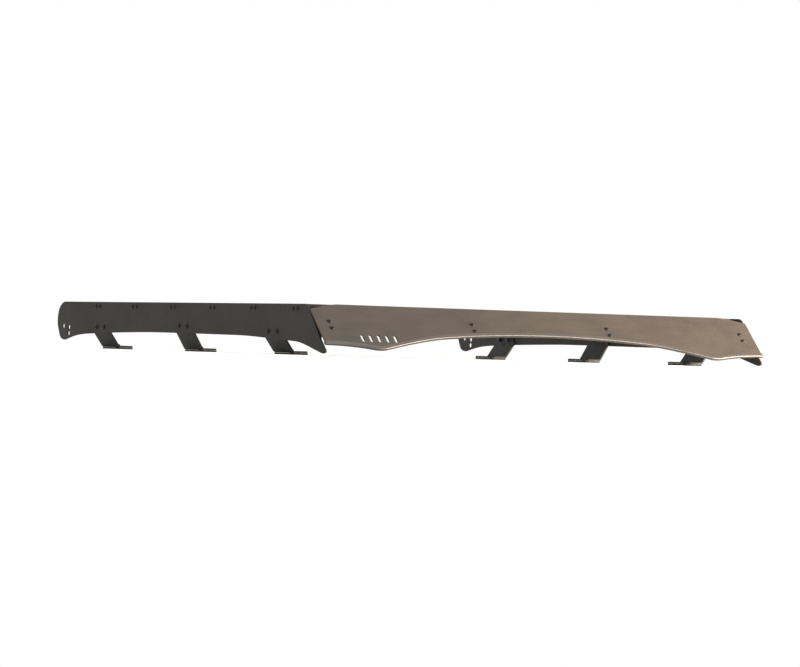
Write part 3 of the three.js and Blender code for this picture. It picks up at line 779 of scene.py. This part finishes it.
def build_reach_bracket(side, space):
    """From the first crossbar's front face down and forward to the back of the fairing."""
    node = f"fairing_reach_bracket_{side}"
    low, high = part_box(node)
    half, wide = BRACKET_PLATE / 2, (high.x - low.x) / 2
    centre = (low.x + high.x) / 2
    slope_low, slope_high = local_box(node, space)
    behind = slope_high.z - half
    back = high.y - half
    nuts = [local_spot(f"fairing_nut_inner_{side}_{name}", space) for name in ("upper", "lower")]
    knee = (space @ Vector((0, nuts[0].y + REACH_KNEE, behind))).yz
    tip = (space @ Vector((0, slope_low.y, behind))).yz
    path = [(back, high.z), (back, high.z - REACH_DROP), tuple(knee), tuple(tip)]
    length = path_length(path, BEND_RADIUS)
    holes = [(0, length - (nut.y - slope_low.y), HOLE_M6) for nut in nuts]
    bar_low, bar_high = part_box("crossbar_1")
    bolt_level = (bar_low.z + bar_high.z) / 2
    holes.append((0, high.z - bolt_level, HOLE_M6))
    shape = bent_plate(wide, path, BRACKET_PLATE, holes)
    piece(f"{side}_reach_bracket", shape, Matrix.Translation((centre, 0, 0)), "bracket_coat", node)
    spot = Vector((centre, back - half, bolt_level))
    piece(f"{side}_reach_bracket_bolt", button_bolt(M6, REACH_BOLT, turns=1),
          pointing((0, -1, 0), spot), "black_fasteners")


def build_foot(place, side, sign):
    node = f"foot_{place}_{side}"
    low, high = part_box(node)
    pad_low, pad_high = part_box(f"foot_pad_{place}_{side}")
    bolts = [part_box(f"foot_bolt_{place}_{side}_{letter}") for letter in "ab"]
    half = FOOT_PLATE / 2
    wide, centre = (high.y - low.y) / 2, (high.y + low.y) / 2
    face = max(abs(low.x), abs(high.x)) - half
    base_outer = max(abs(pad_low.x), abs(pad_high.x)) - half
    base_inner = min(abs(low.x), abs(high.x))
    level = (bolts[0][0].z + bolts[0][1].z) / 2
    floor = low.z + half
    path = [(face, high.z), (face, level - FOOT_SHOULDER), (base_outer, floor), (base_inner, floor)]
    length = path_length(path, BEND_RADIUS)
    shoulder = high.z - level + FOOT_SHOULDER
    outline = [(-wide + FOOT_SHOULDER, 0), (wide - FOOT_SHOULDER, 0), (wide, shoulder), (wide, length),
               (-wide, length), (-wide, shoulder)]
    holes = [((box[0].y + box[1].y) / 2 - centre, high.z - level, HOLE_M8) for box in bolts]
    slot_along = length - ((pad_low.x + pad_high.x) / 2 * sign - base_inner)
    holes.append(slot_outline(slot_along, **FOOT_SLOT))
    shape = bent_plate(wide, path, FOOT_PLATE, holes, FOOT_CORNERS, outline)
    # The bent plate's axes are (along the vehicle, outboard, up).
    turn = Matrix(((0, sign, 0, 0), (1, 0, 0, centre), (0, 0, 1, 0), (0, 0, 0, 1)))
    piece(f"{place}_{side}_foot", shape, turn, "bracket_coat", node)

    pad = f"foot_pad_{place}_{side}"
    space = local_space(pad, (0, 0, 1), (1, 0, 0))
    pad_outline, *pad_holes = face_loops(pad, space)
    shape = plate(refined(pad_outline), [refined(h) for h in pad_holes],
                  -local_box(pad, space)[0].z, PAD_EDGE)
    piece(f"{place}_{side}_rubber_pad", shape, space, "pad_rubber", pad)

    roof = f"roof_bolt_{place}_{side}"
    bolt_low, bolt_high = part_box(roof)
    seat = Vector(((bolt_low.x + bolt_high.x) / 2, (bolt_low.y + bolt_high.y) / 2,
                   bolt_high.z - M8["rise"]))
    piece(f"{place}_{side}_roof_bolt", button_bolt(M8, seat.z - bolt_low.z, turns=1.6),
          pointing((0, 0, 1), seat), "black_fasteners", roof)


def slot_outline(along, half_long, half_wide):
    """A slot with round ends across a flat plate, centred on it and at a distance along it."""
    reach, quarter = half_long - half_wide, math.pi / 2
    turns = [2 * quarter * k / 16 for k in range(17)]
    return [Vector((x + half_wide * math.cos(start + t), along + half_wide * math.sin(start + t)))
            for x, start in ((reach, -quarter), (-reach, quarter)) for t in turns]


for side, sign in SIDES.items():
    build_rail(side, sign)
for number in range(1, CROSSBARS + 1):
    build_crossbar(number)
fairing_space, fairing_thick = build_fairing()
build_trim(fairing_space, fairing_thick)
for side, sign in SIDES.items():
    build_corner_bracket(side, sign, fairing_space)
    build_reach_bracket(side, fairing_space)
    for place in FEET:
        build_foot(place, side, sign)


# ---- floor, light and camera -----------------------------------------------------------------
def build_floor(radius=4.5):
    shape = bmesh.new()
    bmesh.ops.create_circle(shape, cap_ends=True, segments=96, radius=radius)
    mesh = bpy.data.meshes.new("floor")
    shape.to_mesh(mesh)
    shape.free()
    s = Shader("floor_paint")
    cloud = s.noise(1.2, 3.0)
    pale = s.mix(s.span(cloud, 0.3, 0.7), (0.93, 0.93, 0.925), (0.96, 0.96, 0.955))
    mesh.materials.append(s.done(pale, s.span(cloud, 0.3, 0.7, 0.75, 0.85), s.bump(cloud, 0.1 * MM)))
    obj = bpy.data.objects.new("floor", mesh)
    bpy.context.scene.collection.objects.link(obj)


def build_world(colour, strength):
    world = bpy.data.worlds.new("pale_studio")
    world.use_nodes = True
    background = world.node_tree.nodes["Background"]
    background.inputs["Color"].default_value = (*colour, 1)
    background.inputs["Strength"].default_value = strength
    bpy.context.scene.world = world


def area_light(name, spot, aim, size, power, colour):
    light = bpy.data.lights.new(name, "AREA")
    light.shape = "RECTANGLE"
    light.size, light.size_y = size
    light.energy = power
    light.color = colour
    obj = bpy.data.objects.new(name, light)
    obj.location = spot
    obj.rotation_euler = (Vector(aim) - Vector(spot)).to_track_quat("-Z", "Y").to_euler()
    obj.visible_camera = False
    bpy.context.scene.collection.objects.link(obj)


CAMERA_SPOT = Vector((-5.895, -10.260, 0.021))
CAMERA_ROLL = math.radians(1.67)
CAMERA_LENS = 178.0                      # in mm on a 36 mm wide sensor


def build_camera():
    """Far off the front right corner and level with the feet, slightly rolled."""
    camera = bpy.data.objects.new("camera", bpy.data.cameras.new("camera"))
    camera.data.lens = CAMERA_LENS
    camera.data.sensor_width = 36.0
    camera.data.clip_end = 200.0
    aim = (cad_low + cad_high) / 2
    out = CAMERA_SPOT - aim
    camera.matrix_world = (Matrix.Translation(CAMERA_SPOT)
                           @ out.to_track_quat("Z", "Y").to_matrix().to_4x4()
                           @ Matrix.Rotation(CAMERA_ROLL, 4, "Z"))
    bpy.context.scene.collection.objects.link(camera)
    bpy.context.scene.camera = camera


build_floor()
build_world((1.0, 1.0, 1.0), 1.0)
area_light("warm_low_key", (2.0, -2.2, 0.5), (0.1, -0.8, 0.08), (1.8, 0.4), 290, (1.0, 0.79, 0.58))
area_light("overhead_soft", (0, 0.2, 3.4), (0, 0, 0), (3.0, 3.0), 25, (1.0, 0.98, 0.96))
build_camera()
bpy.context.scene.view_settings.view_transform = "Standard"
